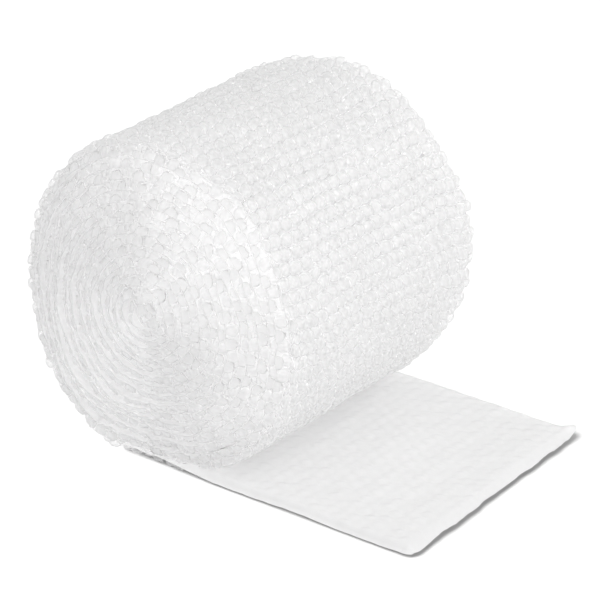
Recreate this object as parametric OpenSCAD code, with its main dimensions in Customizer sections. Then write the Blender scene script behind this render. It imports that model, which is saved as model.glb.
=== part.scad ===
// A roll of bubble cushioning, lying on its side, with its free end unrolled.
// The web is one laminate: a bubble film sealed to a flat backing film.
// It has no core. It is wound on itself, and the free end leaves the roll at
// the bottom and lies flat on what the roll rests on.
// Millimetres. +Z is up, Y is the roll's axis, and the free end runs along +X.
// The origin is at the middle of the underside of the whole thing.

/* [Web] */
// Width of the web, from edge to edge
web_w = 305; // [200:5:400]
// Thickness of the web, over the bubbles
web_t = 8; // [5:0.5:9]
// Length of the whole web
web_len = 9144; // [7000:1:9500]
// Length of the free end along its near edge, from below the roll's axis
tail_near = 305; // [220:1:400]
// Length of the free end along its far edge, from below the roll's axis
tail_far = 274; // [220:1:400]
// Angle by which the free end turns out of square with the roll
tail_yaw = 1.5; // [0:0.1:3]

/* [Roll] */
// Diameter of the wound roll before it settles
roll_d = 325; // [300:1:360]
// How far the roll's own weight presses its underside flat
settle = 7.5; // [3:0.5:8]
// Radius to which the edges of the outer turns curl over
rim_r = 15; // [10:1:20]
// How far the middle turns have slid along the axis, out at one end and in at the other
dome = 17; // [8:1:22]

/* [Winding] */
// Depth of the step between the edges of two turns
step_d = 2.5; // [1:0.5:4]
// Width of the step between the edges of two turns
step_w = 3; // [2:0.5:4]

/* [Hidden] */
rim_steps = 8;
R = roll_d / 2;
// The wound length fills the roll's section, so it sets the pitch of the turns
pitch = PI * R * R / (web_len - tail_near);
// The winding is a spiral of half turns about two centres, half a pitch apart
h_back = R - settle;
h_front = h_back + pitch / 2;
// The underside is flat from here, behind the axis, to the end of the web
flat_x = sqrt(R * R - h_back * h_back);
x_hi = max(tail_near * cos(tail_yaw) - web_w / 2 * sin(tail_yaw),
           tail_far * cos(tail_yaw) + web_w / 2 * sin(tail_yaw));
x_lo = -R;
x_mid = (x_hi + x_lo) / 2;
y_mid = dome / 2;

// How far an end of the roll lies from the web's middle, at a distance r from
// the axis. Every turn is as wide as the web, so what stands out at one end
// (out = 1) is missing at the other (out = -1).
function end_y(r, out) =
    r >= R - rim_r
        ? web_w / 2 - rim_r + sqrt(max(0, rim_r * rim_r - pow(r - (R - rim_r), 2)))
        : web_w / 2 + out * dome * (1 - pow(r / (R - rim_r), 2));

// Distances from the axis at which one turn's edge meets the next one's
function seams(k = 1) = R - k * pitch > 2 * step_w ? concat([R - k * pitch], seams(k + 1)) : [];

// One end's outline, from the rim in to the axis. shift is how much closer
// to its own centre this half of the winding lies than the other half.
function rim_points(shift, out) =
    [for (i = [0 : rim_steps - 1])
        let (r = R - rim_r + rim_r * cos(90 * i / rim_steps))
        if (r > R - pitch + step_w / 2) [r - shift, end_y(r, out)]];

function seam_points(shift, out) =
    [for (r = seams())
        if (r - shift > 1.5 * step_w)
            for (p = [[r + step_w / 2, end_y(r + step_w / 2, out)],
                      [r, end_y(r, out) - step_d],
                      [r - step_w / 2, end_y(r - step_w / 2, out)]])
                [p[0] - shift, p[1]]];

function outline(shift, out) =
    concat(rim_points(shift, out), seam_points(shift, out), [[0, web_w / 2 + out * dome]]);

function flipped(pts) = [for (i = [len(pts) - 1 : -1 : 0]) [pts[i][0], -pts[i][1]]];

// Half of the winding, as a half revolution about the roll's axis
module half_winding(shift, turn) {
    rotate([90, 0, 0])
        rotate([0, 0, turn])
            rotate_extrude(angle = 180, $fn = 96)
                polygon(concat(outline(shift, 1), flipped(outline(shift, -1))));
}

// The wound turns, pressed flat underneath
module winding() {
    difference() {
        union() {
            translate([0, 0, h_back]) half_winding(0, 90);
            translate([0, 0, h_front]) half_winding(pitch / 2, -90);
        }
        translate([-R - 10, -web_w, -50]) cube([2 * R + 20, 2 * web_w, 50]);
    }
}

// The free end, with the strip of it that is still below the roll
module free_end() {
    linear_extrude(height = web_t)
        union() {
            polygon([[-flat_x, -web_w / 2 + 2], [10, -web_w / 2 + 2], [10, web_w / 2 - 2], [-flat_x, web_w / 2 - 2]]);
            rotate([0, 0, -tail_yaw])
                polygon([[0, -web_w / 2], [tail_near, -web_w / 2], [tail_far, web_w / 2], [0, web_w / 2]]);
        }
}

module bubble_wrap() {
    color([0.92, 0.93, 0.93])
        translate([-x_mid, y_mid, 0]) {
            winding();
            free_end();
        }
}

bubble_wrap();
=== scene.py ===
# Looks of the bubble wrap roll: the films, bubbles and turn edges, modelled in
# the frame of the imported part, with a plain floor, soft light and a camera.
import math

import bpy
import numpy as np
from mathutils import Matrix, Vector


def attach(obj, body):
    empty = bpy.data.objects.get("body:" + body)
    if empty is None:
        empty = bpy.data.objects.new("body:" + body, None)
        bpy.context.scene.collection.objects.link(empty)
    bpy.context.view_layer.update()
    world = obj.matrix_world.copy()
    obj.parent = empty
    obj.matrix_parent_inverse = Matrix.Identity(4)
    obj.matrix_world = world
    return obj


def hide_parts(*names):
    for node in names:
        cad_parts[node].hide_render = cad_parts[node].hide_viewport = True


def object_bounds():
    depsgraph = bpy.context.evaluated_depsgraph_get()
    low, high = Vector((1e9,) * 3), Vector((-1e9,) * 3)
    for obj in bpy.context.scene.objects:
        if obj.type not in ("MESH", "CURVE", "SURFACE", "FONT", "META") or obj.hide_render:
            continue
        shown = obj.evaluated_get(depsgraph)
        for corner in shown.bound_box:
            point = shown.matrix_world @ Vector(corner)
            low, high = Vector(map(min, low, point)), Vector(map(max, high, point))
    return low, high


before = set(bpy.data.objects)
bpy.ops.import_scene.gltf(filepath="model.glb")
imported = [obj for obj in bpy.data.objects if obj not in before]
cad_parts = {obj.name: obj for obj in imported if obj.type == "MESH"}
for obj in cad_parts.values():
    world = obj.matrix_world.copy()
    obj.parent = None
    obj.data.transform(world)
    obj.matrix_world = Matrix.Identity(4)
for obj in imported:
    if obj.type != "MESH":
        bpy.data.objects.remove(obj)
cad_lo, cad_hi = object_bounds()

# ---------------------------------------------------------------- sizes, in metres
WEB_W = 0.305
WEB_T = 0.008
WEB_L = 9.144
ROLL_R = 0.1625
SETTLE = 0.0075
RIM = 0.015
DOME = 0.017
TAIL_NEAR = 0.305
TAIL_FAR = 0.274
YAW = math.radians(1.5)
PITCH = math.pi * ROLL_R ** 2 / (WEB_L - TAIL_NEAR)
H_AXIS = ROLL_R - SETTLE
AXIS_X = cad_lo[0] + ROLL_R          # the roll's axis, in the part's frame
AXIS_Y = cad_hi[1] - WEB_W / 2       # the web's middle, in the part's frame

BUB_P = 0.0145                       # bubble pitch across the web
ROW_P = BUB_P * math.sqrt(3) / 2     # rows of bubbles along the web
BUB_R = 0.0064
BUB_H = 0.0076


# ---------------------------------------------------------------- smooth seeded noise
class Lumps:
    """A sum of waves with seeded directions: smooth lumps of about one size."""

    def __init__(self, seed, size, count=14):
        g = np.random.default_rng(seed)
        d = g.normal(size=(count, 3))
        d /= np.linalg.norm(d, axis=1)[:, None]
        self.k = d * (2 * math.pi / (size * g.uniform(0.75, 1.5, count)))[:, None]
        self.p = g.uniform(0, 2 * math.pi, count)

    def __call__(self, q):
        return np.sin(q @ self.k.T + self.p).sum(-1) / math.sqrt(len(self.p) / 2) / 1.6


lump_a, lump_b, lump_c = Lumps(1, 0.11), Lumps(2, 0.09), Lumps(3, 0.10)
ripple = Lumps(4, 0.035)
edge_noise = Lumps(5, 0.06)
edge_fine = Lumps(6, 0.018)


# ---------------------------------------------------------------- the winding
def spiral(phi):
    """Centre height, radius over the bubbles and angle in the turn of the web, wound on by phi from below the axis."""
    k = np.floor(phi / (2 * math.pi))
    t = phi - k * 2 * math.pi
    front = t > math.pi
    zc = np.where(front, H_AXIS + PITCH / 2, H_AXIS)
    rad = np.where(front, ROLL_R - PITCH / 2, ROLL_R) - k * PITCH
    return zc, rad, t


_phi = np.linspace(0, 2 * math.pi * 17.2, 40000)
_rad = spiral(_phi)[1] - WEB_T
_len = np.concatenate([[0], np.cumsum((_rad[1:] + _rad[:-1]) / 2 * np.diff(_phi))])


def phi_of(s):
    """How far the web is wound on at a length s of backing film past the point below the axis."""
    return np.interp(s, _len, _phi)


def s_of(phi):
    return np.interp(phi, _phi, _len)


def telescope(rad):
    """How far a turn of this radius has slid out at the near end."""
    return DOME * np.clip(1 - (rad / (ROLL_R - RIM)) ** 2, 0, None)


def volute_r(th):
    """Distance of the roll's outline from (0, H_AXIS) in direction th."""
    # the front half is a circle half a pitch smaller about a centre half a pitch higher
    c, r2, d = np.sin(th), ROLL_R - PITCH / 2, PITCH / 2
    front = d * c + np.sqrt(np.maximum(r2 ** 2 - d ** 2 * np.cos(th) ** 2, 0))
    return np.where(np.cos(th) > 0, front, ROLL_R)


def hump(a, mid, half):
    """A smooth hump of height 1 at the angle mid, gone at half on either side, in degrees."""
    d = np.clip(np.abs((a - mid + 180) % 360 - 180) / half, 0, 1)
    return 0.5 + 0.5 * np.cos(math.pi * d)


def settled(x, y, z):
    """The roll's own shape as it lies: not quite round, pressed flat below, its axis a little askew."""
    th = np.arctan2(z - H_AXIS, x)
    r = np.hypot(x, z - H_AXIS)
    want = 0.1624 * (1 - 0.0111 * np.cos(2 * th) + 0.0074 * np.cos(3 * th) - 0.0072 * np.sin(3 * th))
    u = y / WEB_W
    near, far = np.clip(-2 * u, 0, 1.1), np.clip(2 * u, 0, 1.1)
    # each end bulges its own way: the near one to the left and below, the far one to the right
    a = np.degrees(th) % 360
    want = want + near * (0.0009 + 0.0036 * hump(a, 193, 55) + 0.0044 * hump(a, 235, 48))
    want = want + far * (0.0012 + 0.0034 * hump(a, 25, 120) + 0.0024 * hump(a, 343, 50) + 0.0014 * hump(a, 82, 60))
    y = y - 0.0050 * near ** 2 * hump(a, 245, 50) * np.clip(r / 0.12, 0, 1) ** 2
    q = want / volute_r(th)
    r = r * (1 + (q - 1) * np.clip(r / ROLL_R, 0, 1.1) ** 2)
    x, z = r * np.cos(th), H_AXIS + r * np.sin(th)
    x = x - 0.0078 * u
    z = z + (0.0002 + 0.0025 * u) * np.clip(z / H_AXIS, 0, 1)
    return x, y, z


def pressed(x, y, z):
    """Presses what would be below the floor, or below the free end's top, up into the turns above it."""
    s = 0.0012
    xa = np.clip(np.abs(x), 0, ROLL_R * 0.97)
    low_b = H_AXIS - np.sqrt(ROLL_R ** 2 - xa ** 2)
    r2 = ROLL_R - PITCH / 2
    low_f = H_AXIS + PITCH / 2 - np.sqrt(np.maximum(r2 ** 2 - np.clip(xa, 0, r2 * 0.97) ** 2, 0))
    f = np.clip(x / 0.012 + 0.5, 0, 1)
    f = f * f * (3 - 2 * f)
    low = low_b * (1 - f) + low_f * f
    floor = 0.0003 + f * (WEB_T + 0.0003)
    need = s * np.logaddexp(0, (floor - low) / s)
    w = np.clip(1 - (z - low) / 0.085, 0, 1)
    w = w * w * (3 - 2 * w)
    z = z + need * w
    return x, y, np.maximum(z, floor)


def bulk(p):
    """Low, soft unevenness of the whole roll."""
    q = p.copy()
    up = np.clip(p[..., 2] / 0.08, 0, 1)
    rel = p - np.array([0, 0, H_AXIS])
    rad = np.linalg.norm(rel[..., [0, 2]], axis=-1)
    d = rel / np.maximum(rad, 1e-4)[..., None]
    d[..., 1] = 0
    th = np.arctan2(rel[..., 2], rel[..., 0])
    # low ridges along the roll, most of them towards the far end
    ridge = np.sin(37 * th + 1.3 * np.sin(3 * th + 1) + 0.9 * lump_b(p))
    amp = (0.0017 * lump_a(p) + 0.0006 * ripple(p) + 0.0010 * ridge * np.clip(0.45 + 1.5 * p[..., 1] / WEB_W, 0.1, 1)) * up
    q += d * (amp * np.clip(rad / 0.1, 0, 1))[..., None]
    q[..., 1] += 0.0022 * lump_b(p) * up
    return q


def place(p):
    return p + np.array([AXIS_X, AXIS_Y, 0.0])


def wound(s, w, n):
    """A point of the wound web: s along it, w across it, n out from the backing film."""
    s, w, n = np.broadcast_arrays(*[np.asarray(a, float) for a in (s, w, n)])
    phi = phi_of(s)
    zc, rad, t = spiral(phi)
    side = np.sign(w)
    a = np.abs(w)
    a0 = WEB_W / 2 - RIM
    curl = 1 - np.clip((phi - 1.75 * math.pi) / (0.9 * math.pi), 0, 1)
    c = RIM / np.maximum(curl, 0.02)
    over = np.maximum(a - a0, 0)
    ang = over / c
    ya = np.where(over > 0, a0 + (c - (WEB_T - n)) * np.sin(ang), a)
    # the backing film keeps its width where the web curls over
    rr = np.where(over > 0, rad - c + (c - (WEB_T - n)) * np.cos(ang), rad - WEB_T + n)
    y = side * ya - telescope(rad - WEB_T / 2) * np.clip((phi - 2 * math.pi) / 2.5, 0, 1)
    q = np.stack([-rad * np.sin(t), np.zeros_like(rad), rad], -1)
    out = np.clip((a - (WEB_W / 2 - 0.03)) / 0.03, 0, 1) ** 2
    y = y + side * out * (0.0028 * edge_noise(q + phi[..., None] * 0.021) + 0.0014 * edge_fine(q + phi[..., None] * 0.013))
    x = -rr * np.sin(t)
    z = zc - rr * np.cos(t)
    x, y, z = settled(x, y, z)
    x, y, z = pressed(x, y, z)
    return place(bulk(np.stack([x, y, z], -1)))


def tail_end(w):
    w = np.asarray(w, float)
    q = np.stack([w, 0 * w, 0 * w], -1)
    line = TAIL_NEAR + 0.0010 + (TAIL_FAR + 0.0010 - TAIL_NEAR) * (w / WEB_W + 0.5) + 0.0016 * (1 - (2 * w / WEB_W) ** 2)
    line = line + 0.0030 + 0.0052 * np.clip((w - 0.04) / 0.08, 0, 1)
    return line + 0.0009 * edge_noise(q + 0.7) + 0.0005 * edge_fine(q)


def corner(l, w):
    """Rounds the two cut corners of the free end: a corner's square is drawn in to a quarter circle."""
    e = tail_end(w) - l
    for sgn, r in ((-1, 0.012), (1, 0.008)):
        a, b = r - e, r - (WEB_W / 2 - sgn * w)
        near = (a > 0) & (b > 0)
        m, d = np.maximum(a, b), np.hypot(a, b)
        f = np.where(near, m / np.maximum(d, 1e-9), 1.0)
        l = np.where(near, l + a * (f - 1), l)
        w = np.where(near, w + sgn * b * (f - 1), w)
    return l, w


def tail(l, w, n):
    """A point of the free end: l from below the axis, w across it, n down from the backing film, which is on top."""
    l, w, n = np.broadcast_arrays(*[np.asarray(a, float) for a in (l, w, n)])
    e = tail_end(w) - l
    side = WEB_W / 2 - np.abs(w)
    # the slit bubbles have no air in them, so the film sinks a little along its edges
    thin = np.clip(1 - side / 0.009, 0, 1)
    thin = thin * thin * (3 - 2 * thin) * np.where(w > 0, 0.30 + 0.26 * hump(l * 1000, 225, 60), 0.62)
    sunk = np.clip(1 - e / 0.012, 0, 1)
    thin = np.maximum(thin, 0.45 * sunk * sunk * (3 - 2 * sunk)) * np.clip((l - 0.02) / 0.06, 0, 1)
    l, w = corner(l, w)
    x = l * math.cos(YAW) + w * math.sin(YAW)
    y = -l * math.sin(YAW) + w * math.cos(YAW)
    z = (WEB_T - n) * (1 - thin)
    q = np.stack([x, y, 0 * x], -1)
    out = np.clip((l - 0.06) / 0.12, 0, 1)
    lift = out * (0.0010 * np.clip(lump_c(q) + 0.35, 0, 2))
    e = tail_end(w) - l
    # the far corner of the cut end has curled up a little
    far = np.clip(1 - np.hypot(e / 0.024, (WEB_W / 2 - w) / 0.024), 0, 1)
    lift = lift + 0.0070 * (far * far * (3 - 2 * far))
    lip = np.clip(1 - e / 0.02, 0, 1) ** 2
    lift = lift + 0.0006 * lip * np.clip(edge_noise(q + 0.3) + 0.4, 0, 2)
    # fine slack wrinkles in the film on top
    z = z + 0.00035 * ripple(q * 1.6) * np.clip(1 - n / WEB_T, 0, 1) * (1 - np.clip(6 * thin, 0, 1))
    return place(np.stack([x, y, np.maximum(z, 0.0002) + lift], -1))


# ---------------------------------------------------------------- meshes
def mesh_piece(name, verts, faces, mat, smooth=True):
    me = bpy.data.meshes.new(name)
    verts = np.asarray(verts, np.float32).reshape(-1, 3)
    quads = [np.asarray(f, np.int32) for f in faces if len(f)]
    me.vertices.add(len(verts))
    me.vertices.foreach_set("co", verts.ravel())
    loops = np.concatenate([f.ravel() for f in quads])
    sizes = np.concatenate([np.full(len(f), f.shape[1], np.int32) for f in quads])
    starts = np.concatenate([[0], np.cumsum(sizes)[:-1]]).astype(np.int32)
    me.loops.add(len(loops))
    me.loops.foreach_set("vertex_index", loops)
    me.polygons.add(len(sizes))
    me.polygons.foreach_set("loop_start", starts)
    me.update(calc_edges=True)
    me.validate()
    me.polygons.foreach_set("use_smooth", np.full(len(me.polygons), smooth))
    me.materials.append(mat)
    ob = bpy.data.objects.new(name, me)
    bpy.context.scene.collection.objects.link(ob)
    return ob


def grid_faces(nu, nv, close_u=False):
    i = np.arange(nu if close_u else nu - 1)[:, None]
    j = np.arange(nv - 1)[None, :]
    a = i * nv + j
    b = ((i + 1) % nu) * nv + j
    return np.stack([a, b, b + 1, a + 1], -1).reshape(-1, 4)


def domes(where, s0, w0, seg=12, prof=None, rng=None, high=BUB_H, spread=(0.86, 1.03), cut=None, opened=None, slack=(0.3, 0.6)):
    """Bubbles as open caps on the backing film. where maps (s, w, n) to a point. cut trims them to the web's
    edges, and those that it opens have gone slack."""
    rng = rng or np.random.default_rng(7)
    prof = prof or [(1.0, 0.0), (0.985, 0.30), (0.90, 0.66), (0.66, 0.90), (0.34, 0.985)]
    n = len(s0)
    ra = BUB_R * rng.uniform(0.95, 1.04, n)
    hi = high * rng.uniform(*spread, n)
    soft = rng.random(n) < 0.035
    hi = np.where(soft, hi * rng.uniform(0.35, 0.7, n), hi)
    if opened is not None:
        hi = np.where(opened, hi * rng.uniform(*slack, n), hi)
    tilt = rng.normal(0, 0.09, (n, 2))
    beta = np.arange(seg) * 2 * math.pi / seg
    V = []
    for a, h in prof:
        a = a * ra[:, None] * (1 + 0.03 * np.sin(2 * beta[None, :] + tilt[:, :1] * 30))
        ds, dw = a * np.cos(beta), a * np.sin(beta)
        hh = hi[:, None] * h * (1 + (tilt[:, :1] * ds + tilt[:, 1:] * dw) / BUB_R)
        V.append((s0[:, None] + ds + 0 * hh, w0[:, None] + dw + 0 * hh, hh))
    S = np.concatenate([v[0] for v in V] + [s0[:, None]], 1)
    Wd = np.concatenate([v[1] for v in V] + [w0[:, None]], 1)
    N = np.concatenate([v[2] for v in V] + [hi[:, None]], 1)
    per = S.shape[1]
    if cut is not None:
        S, Wd = cut(S, Wd, N)
    P = where(S, Wd, N).reshape(-1, 3)
    base = np.arange(n)[:, None, None] * per
    k = np.arange(len(prof) - 1)[:, None] * seg
    j = np.arange(seg)[None, :]
    j2 = (j + 1) % seg
    q = np.stack([k + j, k + j2, k + seg + j2, k + seg + j], -1).reshape(1, -1, 4) + base
    top = (len(prof) - 1) * seg
    jj = np.arange(seg)
    tri = np.stack([top + jj, top + (jj + 1) % seg, np.full(seg, per - 1)], -1)[None] + base
    q, tri = q.reshape(-1, 4), tri.reshape(-1, 3)
    return P, q, tri


def side_cut(s, w, n):
    """The web was slit to width through some of its bubbles: their tops have sunk back from the cut."""
    lean = 0.0042 * np.clip(n / 0.008, 0, 1.2) ** 1.5
    lean = lean + 0.0016 * np.clip(n / 0.004, 0, 1) * (1 + np.sin(s * 910 + np.sin(s * 331) * 2 + n * 500)) / 2
    lim = WEB_W / 2 - 0.0002 - lean
    return s, np.clip(w, -lim, lim)


def end_cut(l, w, n):
    l, w = side_cut(l, w, n)
    lean = 0.003 * np.clip(n / 0.008, 0, 1.2) ** 1.5
    return np.minimum(l, tail_end(w) - 0.0002 - lean), w


# ---------------------------------------------------------------- materials
def new_mat(name):
    m = bpy.data.materials.new(name)
    m.use_nodes = True
    nt = m.node_tree
    nt.nodes.clear()
    out = nt.nodes.new("ShaderNodeOutputMaterial")
    return m, nt, out


def film(name, haze, rim, rough, tint=(0.965, 0.965, 0.96), bump=0.25, scale=160.0, through=0.4, blend=0.35, crease=1.0):
    """Thin clear film: see-through head on, whiter at a slant, glossy, finely wrinkled. With a crease above 1 the
    wrinkles run around the roll."""
    m, nt, out = new_mat(name)
    N, L = nt.nodes.new, nt.links.new
    mix = N("ShaderNodeMixShader")
    clear = N("ShaderNodeBsdfTransparent")
    clear.inputs["Color"].default_value = (0.995, 0.995, 0.995, 1)
    p = N("ShaderNodeBsdfPrincipled")
    p.inputs["Base Color"].default_value = (*tint, 1)
    p.inputs["Roughness"].default_value = rough
    p.inputs["IOR"].default_value = 1.5
    p.inputs["Specular IOR Level"].default_value = 0.5
    co = N("ShaderNodeTexCoord")
    no = N("ShaderNodeTexNoise")
    no.inputs["Scale"].default_value = scale
    no.inputs["Detail"].default_value = 3.0
    no.inputs["Roughness"].default_value = 0.6
    mp = N("ShaderNodeMapping")
    mp.inputs["Scale"].default_value = (1 / crease, crease, 1 / crease)
    L(co.outputs["Object"], mp.inputs["Vector"])
    L(mp.outputs["Vector"], no.inputs["Vector"])
    b = N("ShaderNodeBump")
    b.inputs["Strength"].default_value = bump
    b.inputs["Distance"].default_value = 0.0012
    L(no.outputs["Fac"], b.inputs["Height"])
    L(b.outputs["Normal"], p.inputs["Normal"])
    lw = N("ShaderNodeLayerWeight")
    lw.inputs["Blend"].default_value = blend
    L(b.outputs["Normal"], lw.inputs["Normal"])
    mr = N("ShaderNodeMapRange")
    mr.inputs["To Min"].default_value = haze
    mr.inputs["To Max"].default_value = rim
    L(lw.outputs["Facing"], mr.inputs["Value"])
    L(mr.outputs["Result"], mix.inputs["Fac"])
    glow = N("ShaderNodeBsdfTranslucent")
    glow.inputs["Color"].default_value = (*tint, 1)
    body = N("ShaderNodeMixShader")
    body.inputs["Fac"].default_value = through
    L(p.outputs[0], body.inputs[1])
    L(glow.outputs[0], body.inputs[2])
    L(clear.outputs[0], mix.inputs[1])
    L(body.outputs[0], mix.inputs[2])
    L(mix.outputs[0], out.inputs["Surface"])
    return m


def milk(name, tint, rough, var=0.05, scale=55.0, bump=0.35):
    """The mass of turns below: many films, milky and solid to look at."""
    m, nt, out = new_mat(name)
    N, L = nt.nodes.new, nt.links.new
    p = N("ShaderNodeBsdfPrincipled")
    p.inputs["Roughness"].default_value = rough
    p.inputs["Specular IOR Level"].default_value = 0.6
    co = N("ShaderNodeTexCoord")
    no = N("ShaderNodeTexNoise")
    no.inputs["Scale"].default_value = scale
    no.inputs["Detail"].default_value = 4.0
    L(co.outputs["Object"], no.inputs["Vector"])
    ramp = N("ShaderNodeValToRGB")
    ramp.color_ramp.elements[0].position = 0.32
    ramp.color_ramp.elements[1].position = 0.68
    ramp.color_ramp.elements[0].color = (*[c * (1 - var) for c in tint], 1)
    ramp.color_ramp.elements[1].color = (*[min(1, c * (1 + var)) for c in tint], 1)
    L(no.outputs["Fac"], ramp.inputs["Fac"])
    L(ramp.outputs["Color"], p.inputs["Base Color"])
    n2 = N("ShaderNodeTexNoise")
    n2.inputs["Scale"].default_value = 240.0
    n2.inputs["Detail"].default_value = 3.0
    L(co.outputs["Object"], n2.inputs["Vector"])
    b = N("ShaderNodeBump")
    b.inputs["Strength"].default_value = bump
    b.inputs["Distance"].default_value = 0.001
    L(n2.outputs["Fac"], b.inputs["Height"])
    L(b.outputs["Normal"], p.inputs["Normal"])
    L(p.outputs[0], out.inputs["Surface"])
    return m


BUBBLE = film("bubble_film", 0.32, 0.97, 0.14, tint=(0.988, 0.987, 0.988), bump=0.5, scale=130.0, through=0.44, blend=0.55, crease=2.2)
BACKING = film("backing_film", 0.22, 0.75, 0.20, tint=(0.994, 0.993, 0.994), bump=0.35, scale=110.0)
EDGE = film("turn_edge_film", 0.42, 0.93, 0.19, tint=(0.99, 0.989, 0.99), blend=0.55, through=0.44)
TOP = film("free_end_film", 0.92, 0.98, 0.24, tint=(0.95, 0.948, 0.949), bump=0.35, scale=110.0, through=0.12)
# the free end's bubbles are tinted greyer than the other films: painted shade, so the gap under the free end's edges
# reads dark
UNDER = film("free_end_bubble_film", 0.2, 0.7, 0.16, tint=(0.9, 0.9, 0.9), through=0.2)
INNER = milk("inner_turns", (0.984, 0.984, 0.985), 0.35, var=0.01)

pieces = []

# ---------------------------------------------------------------- the outer turn
S_TURN = float(s_of(np.array(2 * math.pi)))
rows = np.arange(int(-TAIL_NEAR / ROW_P) - 1, int(_len[-1] / ROW_P))


def row_w(i):
    return (np.arange(21) - 10) * BUB_P if i % 2 == 0 else (np.arange(22) - 10.5) * BUB_P


def puffs(s, w):
    """How much each bubble's air pushes the backing film out on its flat side, from 0 to 1."""
    row = np.round(s / ROW_P)
    out = np.zeros(np.shape(s))
    for dr in (-1, 0, 1):
        r = row + dr
        off = np.where(np.mod(r, 2) == 1, BUB_P / 2, 0.0)
        cw = np.round((w - off) / BUB_P) * BUB_P + off
        d = np.hypot(s - r * ROW_P, w - cw)
        full = 0.35 + 0.65 * (0.5 + 0.5 * np.sin(r * 12.9898 + np.round(cw / BUB_P * 2) * 78.233)) ** 0.7
        out = np.maximum(out, np.clip(1 - (d / BUB_R) ** 2, 0, 1) ** 0.8 * full)
    return out


def grid(i0, i1):
    s, w = [], []
    for i in range(i0, i1):
        ws = row_w(i)
        s.append(np.full(len(ws), i * ROW_P))
        w.append(ws)
    return np.concatenate(s), np.concatenate(w)


rng = np.random.default_rng(20)
n_out = int(S_TURN / ROW_P)
s0, w0 = grid(1, n_out)
# the film is drawn unevenly as it is wound, so the rows wander a little while the bubbles keep their distances
drawn = 0.0022 * np.sin(48 * s0 + 1.3 * np.sin(26 * s0)) * np.clip((WEB_W / 2 - np.abs(w0)) / 0.03, 0, 1)
s0 = s0 + rng.normal(0, 0.00035, len(s0)) + 0.0026 * np.sin(57 * w0 + 1.7 * np.sin(23 * w0 + 5 * s0))
w0 = w0 + rng.normal(0, 0.00035, len(w0)) + drawn
# where the web curls over at the rim its bubbles are drawn lower
curled = np.clip((np.abs(w0) / BUB_P - 8.2) / 1.8, 0, 1)
P, q, t = domes(wound, s0, w0, seg=12, rng=rng, high=BUB_H * (1 - 0.24 * curled * curled * (3 - 2 * curled)), cut=side_cut,
                opened=np.abs(w0) > WEB_W / 2 - BUB_R * 0.75)
pieces.append(mesh_piece("outer_turn_bubbles", P, (q, t), BUBBLE))

nu = int(S_TURN / 0.0052)
us = np.linspace(0.0, S_TURN - 0.001, nu)
vs = np.concatenate([np.linspace(-WEB_W / 2, -WEB_W / 2 + 0.02, 9)[:-1],
                     np.linspace(-WEB_W / 2 + 0.02, WEB_W / 2 - 0.02, 40),
                     np.linspace(WEB_W / 2 - 0.02, WEB_W / 2, 9)[1:]])
U, Vv = np.meshgrid(us, vs, indexing="ij")
P = wound(U, Vv, np.full_like(U, 0.0))
pieces.append(mesh_piece("outer_turn_backing", P.reshape(-1, 3), (grid_faces(nu, len(vs)),), BACKING))

# ---------------------------------------------------------------- the next turn, seen through it
rng = np.random.default_rng(21)
s1, w1 = grid(n_out, int(s_of(np.array(4 * math.pi)) / ROW_P))
inside = np.abs(w1) < 9.2 * BUB_P
s1, w1 = s1[inside], w1[inside]
P, q, t = domes(wound, s1, w1, seg=9, rng=rng,
                      prof=[(1.0, 0.0), (0.96, 0.40), (0.72, 0.86)])
pieces.append(mesh_piece("second_turn_bubbles", P, (q, t), INNER))

# the mass of turns: a closed body with spiral-stepped, hollowed ends
def body_piece():
    nt_, k = 220, 1
    th = np.linspace(0, 2 * math.pi, nt_, endpoint=False) + 1e-4
    rings = []
    a_in = WEB_W / 2 - 0.0105
    rads = [0.004, 0.02, 0.04, 0.06, 0.08, 0.10, 0.115, 0.128, 0.136, 0.141]
    prof = []
    for r in rads:
        prof.append((r, -a_in - float(telescope(np.array(r)))))
    prof.append((0.1445, -a_in + 0.003))
    for y in np.linspace(-a_in + 0.006, a_in - 0.006, 30):
        prof.append((0.1445, y))
    prof.append((0.1445, a_in - 0.003))
    for r in rads[::-1]:
        prof.append((r, a_in - float(telescope(np.array(r)))))
    R_, Y_ = np.array(prof).T
    front = th > math.pi
    zc = np.where(front, H_AXIS + PITCH / 2, H_AXIS)[:, None]
    rr = R_[None, :] - np.where(front, PITCH / 2, 0)[:, None] * np.clip(R_ / 0.04, 0, 1)[None, :]
    x = -rr * np.sin(th)[:, None]
    z = zc * 1.0 - rr * np.cos(th)[:, None]
    y = np.broadcast_to(Y_[None, :], x.shape)
    x, y, z = settled(x, y, z)
    x, y, z = pressed(x, y, z)
    Pb = place(bulk(np.stack([x, y, z], -1)))
    nv = len(prof)
    faces = grid_faces(nt_, nv, close_u=True)
    V = Pb.reshape(-1, 3)
    c0, c1 = V.reshape(nt_, nv, 3)[:, 0].mean(0), V.reshape(nt_, nv, 3)[:, -1].mean(0)
    V = np.vstack([V, c0, c1])
    i = np.arange(nt_)
    tri = np.concatenate([
        np.stack([((i + 1) % nt_) * nv, i * nv, np.full(nt_, nt_ * nv)], -1),
        np.stack([i * nv + nv - 1, ((i + 1) % nt_) * nv + nv - 1, np.full(nt_, nt_ * nv + 1)], -1)])
    return mesh_piece("inner_turns_mass", V, (faces, tri), INNER)


pieces.append(body_piece())

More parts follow.
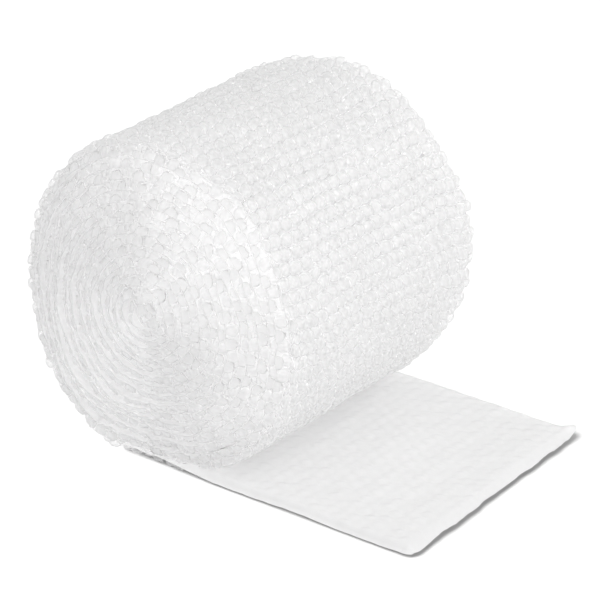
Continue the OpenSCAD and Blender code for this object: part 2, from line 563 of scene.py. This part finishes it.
# ---------------------------------------------------------------- the ends: every turn's edge
last = int(_len[-1] / ROW_P)
for side, name in ((-1, "near"), (1, "far")):
    rng = np.random.default_rng(30 + side)
    i = np.arange(n_out, last)
    odd = i[i % 2 == 1]
    s = np.concatenate([i, odd]) * ROW_P
    w = side * np.concatenate([np.where(i % 2 == 0, 10 * BUB_P, 9.5 * BUB_P), np.full(len(odd), 10.5 * BUB_P)])
    P, q, t = domes(wound, s + rng.normal(0, 0.0014, len(s)), w + rng.normal(0, 0.0010, len(s)), seg=12, rng=rng,
                          prof=[(1.0, 0.0), (0.975, 0.34), (0.84, 0.76), (0.48, 0.97)], high=0.0088, cut=side_cut,
                          opened=np.abs(w) > WEB_W / 2 - BUB_R * 0.75, slack=(0.6, 0.95))
    pieces.append(mesh_piece(f"turn_edges_{name}_bubbles", P, (q, t), EDGE))
    nu = int((_len[-1] - S_TURN) / 0.0031)
    us = np.linspace(S_TURN, _len[-1], nu)
    vs = side * (WEB_W / 2 - np.array([0.024, 0.015, 0.0105, 0.0075, 0.0045, 0.002, 0.0]))
    if side > 0:
        vs = vs[::-1]
    U, Vv = np.meshgrid(us, vs, indexing="ij")
    slack = np.random.default_rng(50 + side).normal(0, 1, nu)
    slack = np.convolve(slack, [0.25, 0.5, 0.25], "same")[:, None] * np.clip(1 - (WEB_W / 2 - np.abs(Vv)) / 0.012, 0, 1)
    P = wound(U, Vv, 0.0002 - 0.0014 * puffs(U, Vv) - 0.0006 * slack)
    ob = mesh_piece(f"turn_edges_{name}_film", P.reshape(-1, 3), (grid_faces(nu, len(vs)),), EDGE)
    md = ob.modifiers.new("thickness", "SOLIDIFY")
    md.thickness = 0.00035
    pieces.append(ob)

# ---------------------------------------------------------------- the free end
rng = np.random.default_rng(40)
st, wt = grid(-int(TAIL_NEAR / ROW_P) - 1, 1)
lt = -st
keep = lt < tail_end(wt) - 0.002
lt, wt = lt[keep], wt[keep]
at_end = tail_end(wt) - lt < BUB_R + 0.004
slit = (np.abs(wt) > WEB_W / 2 - BUB_R - 0.003) | at_end
P, q, t = domes(tail, lt, wt, seg=12, rng=rng, cut=end_cut, opened=slit, slack=(np.where(at_end, 0.06, 0.6), np.where(at_end, 0.16, 1.0)),
                      prof=[(1.0, 0.0), (0.975, 0.34), (0.86, 0.74), (0.56, 0.96)])
pieces.append(mesh_piece("free_end_bubbles", P, (q, t), UNDER))

nl, nw = 150, 150
e = np.linspace(0, 1, nl)
ws = np.linspace(-WEB_W / 2, WEB_W / 2, nw)
Wg, Eg = np.meshgrid(ws, e)
Lg = -0.03 + (tail_end(Wg) + 0.03) * Eg
P = tail(Lg, Wg, -0.0010 * puffs(Lg, Wg))
pieces.append(mesh_piece("free_end_backing", P.reshape(-1, 3), (grid_faces(nl, nw)[:, ::-1],), TOP))

for ob in pieces:
    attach(ob, "root")
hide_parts("bubble_wrap")

# ---------------------------------------------------------------- floor, light, camera
def paper(name, shade, z):
    m, nt, out = new_mat(name)
    d = nt.nodes.new("ShaderNodeBsdfDiffuse")
    d.inputs["Color"].default_value = (shade, shade, shade, 1)
    nt.links.new(d.outputs[0], out.inputs["Surface"])
    bpy.ops.mesh.primitive_plane_add(size=60, location=(0, 0, z))
    f = bpy.context.object
    f.name = name
    f.data.materials.append(m)
    return f


# a white floor to look at, and a greyer one just below it that the light comes back from
floor = paper("floor", 0.5, -0.0002)
floor.visible_diffuse = False
floor.visible_glossy = False
floor.visible_shadow = False
bounce = paper("floor_bounce", 0.32, -0.0004)
bounce.visible_camera = False
bounce.visible_transmission = False
world = bpy.data.worlds.new("studio")
bpy.context.scene.world = world
world.use_nodes = True
bg = world.node_tree.nodes["Background"]
bg.inputs["Color"].default_value = (1, 1, 1, 1)
bg.inputs["Strength"].default_value = 0.662


def area(name, loc, target, size, power, size_y=None):
    l = bpy.data.lights.new(name, "AREA")
    l.energy = power
    l.shape = "RECTANGLE"
    l.size = size
    l.size_y = size_y or size
    o = bpy.data.objects.new(name, l)
    bpy.context.scene.collection.objects.link(o)
    o.visible_camera = False
    o.location = loc
    o.rotation_mode = "QUATERNION"
    o.rotation_quaternion = (Vector(target) - Vector(loc)).to_track_quat("-Z", "Y")
    return o


area("back_key", (1.0, 2.3, 1.65), (0, 0, 0.16), 0.2, 4.5, 0.16)
area("front_fill", (-1.0, -2.2, 1.0), (-0.06, -0.1, 0.14), 0.2, 2.2, 0.15)


def soft_sun(name, energy, angle, toward, receivers, blockers):
    """A broad light on some things only, which only some things shade."""
    lamp = bpy.data.lights.new(name, "SUN")
    lamp.energy = energy
    lamp.angle = math.radians(angle)
    o = bpy.data.objects.new(name, lamp)
    bpy.context.scene.collection.objects.link(o)
    o.location = (0, 0, 3)
    o.rotation_mode = "QUATERNION"
    o.rotation_quaternion = Vector(toward).to_track_quat("Z", "Y")
    for kind, obs in (("receiver", receivers), ("blocker", blockers)):
        c = bpy.data.collections.new(f"{name}_{kind}s")
        for ob in obs:
            c.objects.link(ob)
        setattr(o.light_linking, f"{kind}_collection", c)
    return o


free_end = [ob for ob in pieces if ob.name.startswith("free_end")]
soft_sun("floor_light", 5.88, 40, (0.05, -0.68, 1.0), [floor, bounce], free_end)
soft_sun("front_sun", 0.53, 60, (0.95, -0.2, 0.54), pieces, [bounce])
soft_sun("roll_fill", 0.23, 60, (0.1, -0.1, 1.0), [ob for ob in pieces if ob not in free_end], [bounce])
soft_sun("free_end_fill", 0.74, 60, (0.1, -0.1, 1.0), free_end, [bounce])

cam_d = bpy.data.cameras.new("camera")
cam = bpy.data.objects.new("camera", cam_d)
bpy.context.scene.collection.objects.link(cam)
bpy.context.scene.camera = cam
AZ, EL, ROLL, DIST = math.radians(35.934), math.radians(23.245), math.radians(1.1635), 2.8406
back = Vector((math.sin(AZ) * math.cos(EL), -math.cos(AZ) * math.cos(EL), math.sin(EL)))
right = Vector((math.cos(AZ), math.sin(AZ), 0))
up = back.cross(right)
r2 = right * math.cos(ROLL) + up * math.sin(ROLL)
u2 = up * math.cos(ROLL) - right * math.sin(ROLL)
target = Vector((AXIS_X + 0.0595, AXIS_Y, 0.1304))
loc = target + back * DIST
cam.matrix_world = Matrix(((r2.x, u2.x, back.x, loc.x), (r2.y, u2.y, back.y, loc.y), (r2.z, u2.z, back.z, loc.z), (0, 0, 0, 1)))
cam_d.sensor_width = 36
cam_d.lens = 180
cam_d.clip_start = 0.1
cam_d.clip_end = 100

sc = bpy.context.scene
sc.view_settings.view_transform = "Standard"
sc.view_settings.look = "None"
sc.view_settings.exposure = 0.0
sc.cycles.transparent_max_bounces = 24
sc.cycles.max_bounces = 16
sc.cycles.diffuse_bounces = 12
sc.cycles.transmission_bounces = 12

bpy.context.view_layer.update()
tris = {o.name: sum(len(p.vertices) - 2 for p in o.data.polygons) * (2 if o.modifiers else 1) for o in pieces}
print("triangles", tris, sum(tris.values()))
